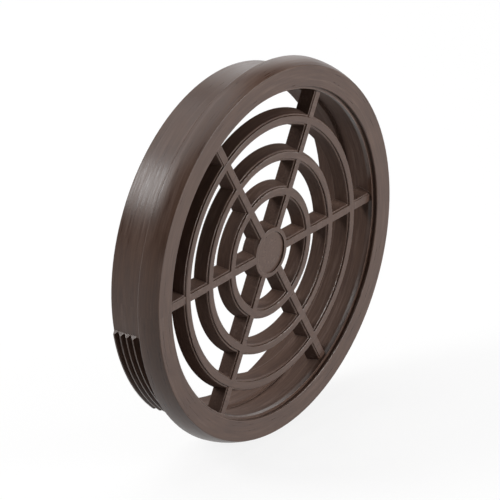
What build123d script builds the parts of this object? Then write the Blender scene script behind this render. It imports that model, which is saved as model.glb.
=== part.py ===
from build123d import *

import os

# Round vent cap: a moulded ring grille with a push-in collar, all in one piece.
# Millimetres. The axis runs along Y, the grille faces -Y, and +Z is up.
# Y = 0 is the back of the flange, which lies against the wall.

# Collar, which sets the size of the part, and the flange that overhangs it
collar_diameter = 99.4
collar_length = 12.0
collar_wall = 4.1
collar_rim_rounding = 0.4
flange_overhang = 4.05
flange_thickness = 6.2
flange_front_rounding = 0.25
flange_back_rounding = 0.4
face_inset = 1.45

# Opening: a crisp lip, a narrow ledge, the bore that carries the grille, and a closer bore behind it
lip_rounding = 0.3
ledge_recess = 1.1
ledge_width = 0.8
rear_bore_step = 0.9
rear_bore_start = 3.0
rear_bore_rounding = 0.3

# Grille: a hub, concentric rings and straight spokes of one stepped section
grille_recess = 1.7
blade_depth = 4.1
blade_land_width = 2.1
blade_land_rounding = 0.3
blade_step_height = 0.45
blade_step_width = 0.4
blade_step_rounding = 0.2
blade_back_width = 4.7
ring_count = 3
ring_pitch = 10.0
spoke_count = 6
outer_spoke_drop = 0.2
spoke_overlap_in_hub = 1.4
spoke_overlap_in_wall = 0.5
hub_diameter = 14.1
hub_back_widening = 1.0
hub_dish_diameter = 11.8
hub_dish_depth = 0.45

# Grip ribs: two opposite patches on the collar, each midway between two spokes
rib_patch_angle = 38.6
rib_patch_directions = (30.0, 210.0)
rib_pitch = 2.1
rib_crest_width = 0.35
rib_root_width = 0.25
rib_depth = 1.2
rib_groove_count = 6
first_rib_from_rim = 0.6

# Places that follow from the sizes above
collar_radius = collar_diameter / 2
flange_radius = collar_radius + flange_overhang
face_radius = flange_radius - face_inset
bore_radius = collar_radius - collar_wall
opening_radius = bore_radius + ledge_width
rear_bore_radius = bore_radius - rear_bore_step
hub_radius = hub_diameter / 2
front = -flange_thickness
ledge = front + ledge_recess
grille_front = front + grille_recess
ring_radii = [hub_radius + ring_pitch * (index + 1) for index in range(ring_count)]
spoke_angles = [360 / spoke_count * index for index in range(spoke_count)]
spoke_start = hub_radius - spoke_overlap_in_hub
spoke_end = bore_radius + spoke_overlap_in_wall
groove_width = rib_pitch - rib_crest_width
first_groove = collar_length - first_rib_from_rim + rib_pitch / 2
groove_places = [first_groove - rib_pitch * index for index in range(rib_groove_count)]
root_radius = collar_radius - rib_depth

# Turning about this axis is anticlockwise for someone facing the grille.
turning_axis = Axis((0, 0, 0), (0, -1, 0))


def meridian_plane(angle):
    """Half-plane through the axis: local x points outward at the angle, local y runs to the back."""
    return Plane.XY.rotated((0, -angle, 0))


def spoke_plane(angle):
    """Plane square to a spoke: local z points outward along it, local y runs to the back."""
    return Plane((0, 0, 0), x_dir=(0, 0, -1), z_dir=(1, 0, 0)).rotated((0, -angle, 0))


def blade_section(land_drop):
    """Section of a ring or spoke: a raised land on shoulders, then sides that spread to the back."""
    half_land = blade_land_width / 2
    half_shoulder = half_land + blade_step_width
    half_back = blade_back_width / 2
    with BuildSketch() as section:
        with BuildLine():
            Polyline(
                (-half_back, blade_depth),
                (-half_shoulder, blade_step_height),
                (-half_land, blade_step_height),
                (-half_land, land_drop),
                (half_land, land_drop),
                (half_land, blade_step_height),
                (half_shoulder, blade_step_height),
                (half_back, blade_depth),
                close=True,
            )
        make_face()
        shoulders = [(-half_shoulder, blade_step_height), (half_shoulder, blade_step_height)]
        for corner in shoulders:
            fillet(section.vertices().sort_by_distance(corner)[0], blade_step_rounding)
        land_rounding = min(blade_land_rounding, 0.6 * (blade_step_height - land_drop))
        for corner in [(-half_land, land_drop), (half_land, land_drop)]:
            fillet(section.vertices().sort_by_distance(corner)[0], land_rounding)
    return section.sketch


def groove_section():
    """Section of one V groove between two grip ribs, open to the outside of the collar."""
    with BuildSketch() as section:
        with BuildLine():
            Polyline(
                (root_radius, -rib_root_width / 2),
                (collar_radius, -groove_width / 2),
                (collar_radius + rib_depth, -groove_width / 2),
                (collar_radius + rib_depth, groove_width / 2),
                (collar_radius, groove_width / 2),
                (root_radius, rib_root_width / 2),
                close=True,
            )
        make_face()
    return section.sketch


ring_section = blade_section(0)
outer_spoke_section = blade_section(outer_spoke_drop)
rib_groove_section = groove_section()

with BuildPart() as vent_cap:
    # Flange, lip and collar, turned from one section
    with BuildSketch(Plane.XY) as wall:
        with BuildLine():
            Polyline(
                (face_radius, front),
                (opening_radius, front),
                (opening_radius, ledge),
                (bore_radius, ledge),
                (bore_radius, rear_bore_start),
                (rear_bore_radius, rear_bore_start),
                (rear_bore_radius, collar_length),
                (collar_radius, collar_length),
                (collar_radius, 0),
                (flange_radius, 0),
            )
            TangentArc((flange_radius, 0), (face_radius, front), tangent=(0, -1))
        make_face()
        rounded_corners = [
            ((opening_radius, front), lip_rounding),
            ((face_radius, front), flange_front_rounding),
            ((flange_radius, 0), flange_back_rounding),
            ((collar_radius, collar_length), collar_rim_rounding),
            ((rear_bore_radius, rear_bore_start), rear_bore_rounding),
        ]
        for corner, rounding in rounded_corners:
            fillet(wall.vertices().sort_by_distance(corner)[0], rounding)
    revolve(axis=turning_axis)

    # Hub
    with BuildSketch(Plane.XY) as hub:
        with BuildLine():
            Polyline(
                (0, grille_front),
                (hub_radius, grille_front),
                (hub_radius + hub_back_widening, grille_front + blade_depth),
                (0, grille_front + blade_depth),
                close=True,
            )
        make_face()
        fillet(hub.vertices().sort_by_distance((hub_radius, grille_front))[0], blade_land_rounding)
    revolve(axis=turning_axis)

    # Concentric rings
    with BuildSketch(Plane.XY):
        with Locations(*[(radius, grille_front) for radius in ring_radii]):
            add(ring_section)
    revolve(axis=turning_axis)

    # Spokes: level with the rings out to the last one, then a little lower as far as the wall
    with BuildSketch(*[spoke_plane(angle).offset(spoke_start) for angle in spoke_angles]):
        with Locations((0, grille_front)):
            add(ring_section)
    extrude(amount=ring_radii[-1] - spoke_start)
    with BuildSketch(*[spoke_plane(angle).offset(ring_radii[-1]) for angle in spoke_angles]):
        with Locations((0, grille_front)):
            add(outer_spoke_section)
    extrude(amount=spoke_end - ring_radii[-1])

    # Shallow dish in the hub's face
    with BuildSketch(Plane.XZ.offset(-grille_front)):
        Circle(hub_dish_diameter / 2)
    extrude(amount=-hub_dish_depth, mode=Mode.SUBTRACT)

    # Grip ribs: V grooves round each patch
    for direction in rib_patch_directions:
        with BuildSketch(meridian_plane(direction - rib_patch_angle / 2)):
            with Locations(*[(0, place) for place in groove_places]):
                add(rib_groove_section)
        revolve(axis=turning_axis, revolution_arc=rib_patch_angle, mode=Mode.SUBTRACT)

vent_cap.part.label = "vent_cap"

os.makedirs("parts", exist_ok=True)
export_step(vent_cap.part, "parts/vent_cap.step")
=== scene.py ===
import math

import bpy
from mathutils import Matrix, Vector


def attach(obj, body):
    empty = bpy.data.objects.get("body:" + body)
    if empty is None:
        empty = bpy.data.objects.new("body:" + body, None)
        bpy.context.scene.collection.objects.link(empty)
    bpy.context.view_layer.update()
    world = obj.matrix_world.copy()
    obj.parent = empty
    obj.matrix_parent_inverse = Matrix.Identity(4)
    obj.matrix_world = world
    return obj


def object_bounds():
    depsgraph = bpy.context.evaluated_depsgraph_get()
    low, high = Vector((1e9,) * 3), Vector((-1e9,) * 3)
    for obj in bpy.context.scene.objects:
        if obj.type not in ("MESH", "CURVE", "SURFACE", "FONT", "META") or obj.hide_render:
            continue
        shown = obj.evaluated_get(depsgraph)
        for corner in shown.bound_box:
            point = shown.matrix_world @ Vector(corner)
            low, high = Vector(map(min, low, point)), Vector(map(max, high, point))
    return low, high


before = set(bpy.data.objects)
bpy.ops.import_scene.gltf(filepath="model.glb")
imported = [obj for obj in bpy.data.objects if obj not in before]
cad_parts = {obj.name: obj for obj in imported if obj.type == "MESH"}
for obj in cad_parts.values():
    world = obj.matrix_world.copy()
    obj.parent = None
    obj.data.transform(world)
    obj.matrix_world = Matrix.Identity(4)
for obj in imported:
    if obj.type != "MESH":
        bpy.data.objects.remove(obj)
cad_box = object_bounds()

MM = 0.001

# Camera: the viewing angle of the photograph, from far off so that lines stay nearly parallel
view_azimuth = math.radians(-52.75)
view_elevation = math.radians(23.9)
view_roll = math.radians(-1.1)
camera_distance = 2.0
camera_reach = 20.0
picture_width = 135.2 * MM
picture_centre = Vector((-3.2, 0.35, 0.7)) * MM
sensor_width_mm = 36.0

# Grip ribs: they stand a little proud of the collar, and the hole squeezes them level with it.
# No rib reaches past the limit, so that none shows behind the collar's rim.
collar_radius = 49.7 * MM
rib_limit = 11.7 * MM
rib_height = 0.8 * MM
rib_root_depth = 1.2 * MM
rib_crest_width = 0.4 * MM
rib_root_width = 2.0 * MM
rib_end_angle = 0.9
rib_count = 4
first_rib_mm = 11.4
rib_pitch_mm = 2.1
rib_places = [(first_rib_mm - rib_pitch_mm * index) * MM for index in range(rib_count)]
rib_patches = {"grip_ribs_left": 210.0, "grip_ribs_right": 30.0}
rib_patch_angle = 38.6
rib_steps = 78

# Finish of the plastic, with its painted edge highlight: sizes of its patterns as they are drawn, and where
# the matt of the bore begins
pigment_drift_size = 9 * MM
turning_mark_width = 0.5 * MM
turning_mark_run = 3 * MM
rub_mark_width = 2 * MM
# Width of the paler edges, partly wear and partly a painted highlight
edge_wear_and_highlight_width = 0.3 * MM
grain_size = 0.3 * MM
grain_height = 0.04 * MM
turning_mark_height = 0.05 * MM
satin_from_radius = 45.9 * MM
matt_to_radius = 45.65 * MM
satin_to_depth = -4.0 * MM
matt_from_depth = -3.6 * MM
matt_roughness = 0.8

# Studio: a pale floor just under the flange, low walls far off round it, and soft lamps whose share 1.0
# shows a colour as written
floor_size = 6.0
wall_height = 0.6
floor_colour_in_bounced_light = "#A0A0A0"
floor_colour_seen = "#FFFFFF"
floor_glow = 0.85
fill_share = 0.06
lamps = [
    # name, azimuth, elevation, distance, size, share
    ("front_softbox", 26.0, 7.0, 0.9, 0.5, 1.05),
    ("left_rim_softbox", -133.0, 39.0, 0.9, 0.35, 0.5),
    ("right_rim_softbox", 125.0, 24.0, 0.9, 0.6, 0.2),
    ("top_softbox", 180.0, 72.0, 0.9, 1.0, 0.65),
]


def linear(hex_colour):
    """An sRGB hex colour as the linear RGBA that shaders take."""
    channels = [int(hex_colour[start:start + 2], 16) / 255 for start in (1, 3, 5)]
    straight = [c / 12.92 if c <= 0.04045 else ((c + 0.055) / 1.055) ** 2.4 for c in channels]
    return (*straight, 1.0)


def add_node(tree, kind, inputs=None, **settings):
    """Adds a node with its settings. Each input is a value or the output socket of another node."""
    made = tree.nodes.new(kind)
    for name, value in settings.items():
        setattr(made, name, value)
    for name, value in (inputs or {}).items():
        if isinstance(value, bpy.types.NodeSocket):
            tree.links.new(value, made.inputs[name])
        else:
            made.inputs[name].default_value = value
    return made


def new_material(name):
    """An empty node material and its tree."""
    material = bpy.data.materials.new(name)
    material.use_nodes = True
    material.node_tree.nodes.clear()
    return material, material.node_tree


def moulded_polypropylene():
    """Brown polypropylene, injection moulded in a lathe-turned tool.

    Satin, with faint marks that run round the axis, and matt inside the bore.
    """
    material, tree = new_material("moulded_polypropylene_satin_brown")
    place = add_node(tree, "ShaderNodeTexCoord").outputs["Object"]

    # Pigment: slow, faint drift from the way the melt flowed
    drift = add_node(
        tree, "ShaderNodeTexNoise", {"Vector": place, "Scale": 1 / pigment_drift_size, "Detail": 3.0},
    )
    pigment = add_node(tree, "ShaderNodeValToRGB", {"Fac": drift.outputs["Fac"]})
    pigment.color_ramp.elements[0].position = 0.3
    pigment.color_ramp.elements[0].color = linear("#48342A")
    pigment.color_ramp.elements[1].position = 0.7
    pigment.color_ramp.elements[1].color = linear("#543E32")

    # Turning marks of the tool: really about 0.1 mm apart, drawn five times as coarse so that they show
    parts = add_node(tree, "ShaderNodeSeparateXYZ", {"Vector": place})
    across = add_node(tree, "ShaderNodeCombineXYZ", {"X": parts.outputs["X"], "Y": parts.outputs["Z"]})
    radius = add_node(tree, "ShaderNodeVectorMath", {0: across.outputs["Vector"]}, operation="LENGTH")
    angle = add_node(
        tree, "ShaderNodeMath", {0: parts.outputs["Z"], 1: parts.outputs["X"]}, operation="ARCTAN2",
    )
    slow_turn = add_node(
        tree, "ShaderNodeMath", {0: angle.outputs[0], 1: turning_mark_run}, operation="MULTIPLY",
    )
    round_axis = add_node(
        tree, "ShaderNodeCombineXYZ",
        {"X": radius.outputs["Value"], "Y": parts.outputs["Y"], "Z": slow_turn.outputs[0]},
    )
    marks = add_node(
        tree, "ShaderNodeTexNoise",
        {"Vector": round_axis.outputs["Vector"], "Scale": 1 / turning_mark_width, "Detail": 3.0},
    )
    streaks = add_node(tree, "ShaderNodeValToRGB", {"Fac": marks.outputs["Fac"]})
    streaks.color_ramp.elements[0].position = 0.3
    streaks.color_ramp.elements[0].color = linear("#412D26")
    streaks.color_ramp.elements[1].position = 0.75
    streaks.color_ramp.elements[1].color = linear("#5F473A")
    streaked = add_node(
        tree, "ShaderNodeMix",
        {0: 0.5, 6: pigment.outputs["Color"], 7: streaks.outputs["Color"]}, data_type="RGBA",
    )

    # Rub marks from handling: pale streaks, about 2 mm wide, that run round the axis too
    rubbed = add_node(
        tree, "ShaderNodeTexNoise",
        {
            "Vector": round_axis.outputs["Vector"],
            "Scale": 1 / rub_mark_width,
            "Detail": 8.0,
            "Roughness": 0.65,
        },
    )
    scuffs = add_node(
        tree, "ShaderNodeMapRange",
        {"Value": rubbed.outputs["Fac"], "From Min": 0.54, "From Max": 0.74, "To Min": 0.0, "To Max": 0.45},
    )
    coloured = add_node(
        tree, "ShaderNodeMix",
        {0: scuffs.outputs["Result"], 6: streaked.outputs[2], 7: linear("#76625A")}, data_type="RGBA",
    )

    # Edges: paler where the rounded normal turns away from the surface's own, partly wear and partly a
    # painted highlight along every edge
    rounded = add_node(tree, "ShaderNodeBevel", {"Radius": edge_wear_and_highlight_width}, samples=6)
    surface = add_node(tree, "ShaderNodeNewGeometry")
    alike = add_node(
        tree, "ShaderNodeVectorMath",
        {0: rounded.outputs["Normal"], 1: surface.outputs["Normal"]}, operation="DOT_PRODUCT",
    )
    edge_wear_and_highlight = add_node(
        tree, "ShaderNodeMapRange",
        {
            "Value": alike.outputs["Value"],
            "From Min": 0.98,
            "From Max": 0.80,
            "To Min": 0.0,
            "To Max": 0.55,
        },
    )
    # Painted edge highlight, partly wear: the edges mixed towards a pale colour
    wear_and_highlight_edged = add_node(
        tree, "ShaderNodeMix",
        {0: edge_wear_and_highlight.outputs["Result"], 6: coloured.outputs[2], 7: linear("#8C7A70")}, data_type="RGBA",
    )

    # Gloss follows the turning marks
    turned = add_node(
        tree, "ShaderNodeMapRange",
        {"Value": marks.outputs["Fac"], "From Min": 0.3, "From Max": 0.7, "To Min": 0.27, "To Max": 0.42},
    )

    # The core of the tool forms the bore and the blades' sides. It is spark-eroded and leaves them matt.
    in_bore = add_node(
        tree, "ShaderNodeMapRange",
        {"Value": radius.outputs["Value"], "From Min": satin_from_radius, "From Max": matt_to_radius},
    )
    behind_shoulders = add_node(
        tree, "ShaderNodeMapRange",
        {"Value": parts.outputs["Y"], "From Min": satin_to_depth, "From Max": matt_from_depth},
    )
    eroded = add_node(
        tree, "ShaderNodeMath", {0: in_bore.outputs["Result"], 1: behind_shoulders.outputs["Result"]},
        operation="MULTIPLY",
    )
    roughness = add_node(
        tree, "ShaderNodeMapRange",
        {"Value": eroded.outputs[0], "To Min": turned.outputs["Result"], "To Max": matt_roughness},
    )

    # Grain: really about 0.1 mm, drawn three times as coarse so that it shows
    grain = add_node(tree, "ShaderNodeTexNoise", {"Vector": place, "Scale": 1 / grain_size, "Detail": 2.0})
    fine_bump = add_node(
        tree, "ShaderNodeBump",
        {"Height": grain.outputs["Fac"], "Strength": 0.25, "Distance": grain_height},
    )
    bump = add_node(
        tree, "ShaderNodeBump",
        {
            "Height": marks.outputs["Fac"],
            "Strength": 0.25,
            "Distance": turning_mark_height,
            "Normal": fine_bump.outputs["Normal"],
        },
    )

    plastic = add_node(
        tree, "ShaderNodeBsdfPrincipled",
        {
            "Base Color": wear_and_highlight_edged.outputs[2],
            "Roughness": roughness.outputs["Result"],
            "IOR": 1.49,
            "Specular IOR Level": 0.42,
            "Normal": bump.outputs["Normal"],
        },
    )
    add_node(tree, "ShaderNodeOutputMaterial", {"Surface": plastic.outputs["BSDF"]})
    return material


def seen_directly(tree):
    """1 for rays from the camera, from gloss and through glass, and 0 for light between surfaces."""
    ray = add_node(tree, "ShaderNodeLightPath")
    camera_or_gloss = add_node(
        tree, "ShaderNodeMath", {0: ray.outputs["Is Camera Ray"], 1: ray.outputs["Is Glossy Ray"]},
        operation="MAXIMUM",
    )
    any_of_them = add_node(
        tree, "ShaderNodeMath", {0: camera_or_gloss.outputs[0], 1: ray.outputs["Is Transmission Ray"]},
        operation="MAXIMUM",
    )
    return any_of_them.outputs[0]


def painted_floor():
    """Matt pale studio floor, which looks white, keeps a soft shadow and throws little light back up."""
    material, tree = new_material("matt_pale_studio_floor")
    directly = seen_directly(tree)
    colour = add_node(
        tree, "ShaderNodeMix",
        {0: directly, 6: linear(floor_colour_in_bounced_light), 7: linear(floor_colour_seen)},
        data_type="RGBA",
    )
    paint = add_node(tree, "ShaderNodeBsdfDiffuse", {"Color": colour.outputs[2]})
    glow = add_node(tree, "ShaderNodeEmission", {"Color": linear(floor_colour_seen), "Strength": 1.0})
    share = add_node(tree, "ShaderNodeMath", {0: directly, 1: floor_glow}, operation="MULTIPLY")
    both = add_node(
        tree, "ShaderNodeMixShader", {0: share.outputs[0], 1: paint.outputs[0], 2: glow.outputs[0]},
    )
    add_node(tree, "ShaderNodeOutputMaterial", {"Surface": both.outputs[0]})
    return material


def direction(azimuth, elevation):
    """Unit vector from the object: azimuth 0 is in front of the grille, and 90 is towards +X."""
    return Vector((
        math.sin(azimuth) * math.cos(elevation),
        -math.cos(azimuth) * math.cos(elevation),
        math.sin(elevation),
    ))


def grip_ribs(name, middle_angle, material):
    """One patch of wedge-shaped ribs, swept round the axis, their ends chamfered down to the collar."""
    root = collar_radius - rib_root_depth
    crest = collar_radius + rib_height
    half_root = rib_root_width / 2
    half_crest = rib_crest_width / 2
    wedge = [(root, -half_root), (crest, -half_crest), (crest, half_crest), (root, half_root)]
    flat_end = [
        (root, -half_root),
        (collar_radius, -half_root),
        (collar_radius, half_root),
        (root, half_root),
    ]
    start = middle_angle - rib_patch_angle / 2
    full_height_angle = rib_patch_angle - rib_end_angle
    stations = [(start - rib_end_angle / 2, flat_end)]
    for step in range(rib_steps + 1):
        stations.append((start + rib_end_angle / 2 + full_height_angle * step / rib_steps, wedge))
    stations.append((start + rib_patch_angle + rib_end_angle / 2, flat_end))

    points = []
    faces = []
    corners = len(wedge)
    for place in rib_places:
        first = len(points)
        for degrees, section in stations:
            angle = math.radians(degrees)
            for radius, y in section:
                along = min(place + y, rib_limit)
                points.append((radius * math.cos(angle), along, radius * math.sin(angle)))
        last = len(points) - corners
        for here in range(first, last, corners):
            ahead = here + corners
            for corner in range(corners):
                beside = (corner + 1) % corners
                faces.append((here + corner, here + beside, ahead + beside, ahead + corner))
        faces.append(tuple(range(first + corners - 1, first - 1, -1)))
        faces.append(tuple(range(last, last + corners)))
    mesh = bpy.data.meshes.new(name)
    mesh.from_pydata(points, [], faces)
    mesh.materials.append(material)
    ribs = bpy.data.objects.new(name, mesh)
    bpy.context.scene.collection.objects.link(ribs)
    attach(ribs, "root")


# The cap itself, and its ribs at their full height
brown_plastic = moulded_polypropylene()
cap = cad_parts["vent_cap"]
cap.data.materials.clear()
cap.data.materials.append(brown_plastic)
for name, middle_angle in rib_patches.items():
    grip_ribs(name, middle_angle, brown_plastic)

# Floor, with its walls, which stand behind the cap when it is seen from level
half = floor_size / 2
floor_height = cad_box[0].z
floor_corners = ((-half, -half), (half, -half), (half, half), (-half, half))
floor_points = [(x, y, floor_height) for x, y in floor_corners]
wall_points = [(x, y, floor_height + wall_height) for x, y in floor_corners]
sides = len(floor_corners)
wall_faces = []
for side in range(sides):
    beside = (side + 1) % sides
    wall_faces.append((side, side + sides, beside + sides, beside))
floor_mesh = bpy.data.meshes.new("floor")
floor_mesh.from_pydata(floor_points + wall_points, [], [(0, 1, 2, 3)] + wall_faces)
floor = bpy.data.objects.new("floor", floor_mesh)
bpy.context.scene.collection.objects.link(floor)
floor_mesh.materials.append(painted_floor())

# Lamps
for name, azimuth, elevation, distance, size, share in lamps:
    lamp_data = bpy.data.lights.new(name, "AREA")
    lamp_data.shape = "DISK"
    lamp_data.size = size
    lamp_data.energy = share * (math.pi * distance) ** 2
    lamp = bpy.data.objects.new(name, lamp_data)
    bpy.context.scene.collection.objects.link(lamp)
    towards = direction(math.radians(azimuth), math.radians(elevation))
    lamp.location = towards * distance
    lamp.rotation_euler = towards.to_track_quat("Z", "Y").to_euler()

# World: a dim, even fill, so that the room above reflects darker than the floor
world = bpy.data.worlds.new("dim_studio")
bpy.context.scene.world = world
world.use_nodes = True
sky = world.node_tree
sky.nodes.clear()
fill = add_node(sky, "ShaderNodeBackground", {"Color": (1, 1, 1, 1), "Strength": fill_share})
add_node(sky, "ShaderNodeOutputWorld", {"Surface": fill.outputs[0]})

# Camera
to_camera = direction(view_azimuth, view_elevation)
level_right = Vector((math.cos(view_azimuth), math.sin(view_azimuth), 0))
level_up = to_camera.cross(level_right)
right = level_right * math.cos(view_roll) + level_up * math.sin(view_roll)
up = to_camera.cross(right)
camera_data = bpy.data.cameras.new("photograph_view")
camera_data.sensor_width = sensor_width_mm
camera_data.lens = sensor_width_mm * camera_distance / picture_width
camera_data.clip_end = camera_reach
camera = bpy.data.objects.new("photograph_view", camera_data)
bpy.context.scene.collection.objects.link(camera)
camera.matrix_world = Matrix.Translation(picture_centre + to_camera * camera_distance) @ (
    Matrix((right, up, to_camera)).transposed().to_4x4()
)
bpy.context.scene.camera = camera

bpy.context.scene.view_settings.view_transform = "Standard"
